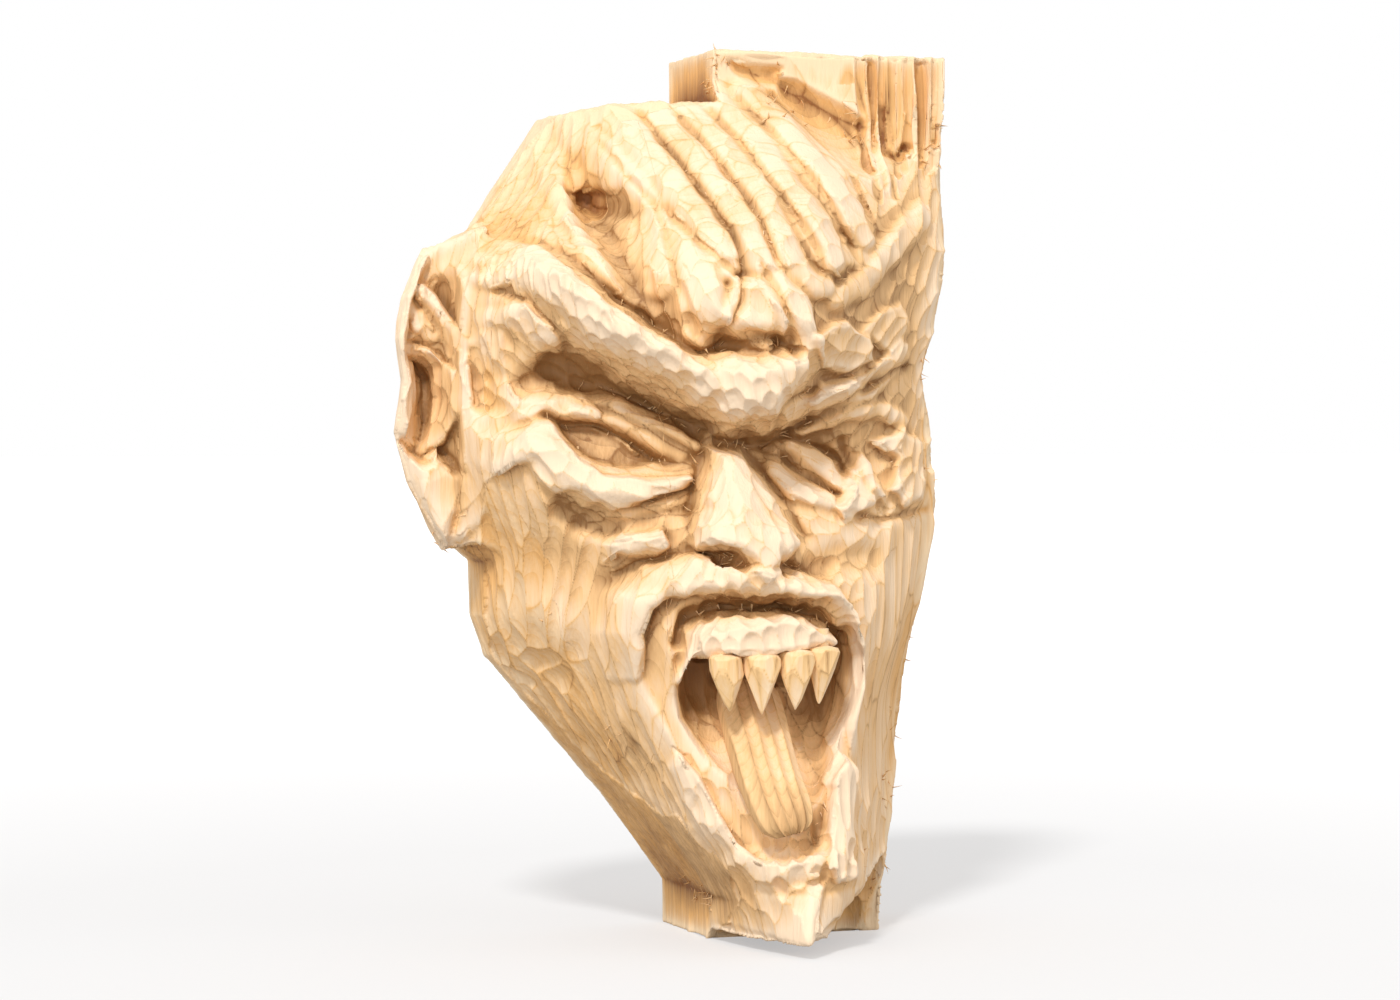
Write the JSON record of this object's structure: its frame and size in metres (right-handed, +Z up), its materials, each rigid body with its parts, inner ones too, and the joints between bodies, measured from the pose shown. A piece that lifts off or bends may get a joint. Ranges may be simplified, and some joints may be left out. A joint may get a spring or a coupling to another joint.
{
  "type": "carved wooden demon mask",
  "caption": "Rough-carved wooden demon mask with a scowling brow, fangs and a long tongue, still on the two stubs that held its block on the bench, hollowed behind.",
  "frame": {"origin": "on the floor, below the centre of the bounding box", "axes": "+Z up along the plank's grain, -Y out of the face, +X to the viewer's right"},
  "size_m": [0.23, 0.14, 0.372],
  "materials": {
    "plank_wood": "rough-sawn and gouged softwood, unfinished, slightly more orange",
    "carved_wood": "fresh gouge cuts, unfinished pale wood",
    "fang_wood": "knife-cut facets, unfinished pale wood"
  },
  "bodies": {
    "root": {"stub_plank": "plank_wood", "side_plank": "plank_wood", "ear_block": "carved_wood", "middle_plank_left": "carved_wood", "middle_plank_right": "carved_wood", "brow_block": "carved_wood", "muzzle_block": "carved_wood", "jaw_block": "carved_wood", "tongue": "carved_wood", "fang_1": "fang_wood", "fang_2": "fang_wood", "fang_3": "fang_wood", "fang_4": "fang_wood"}
  },
  "joints": []
}
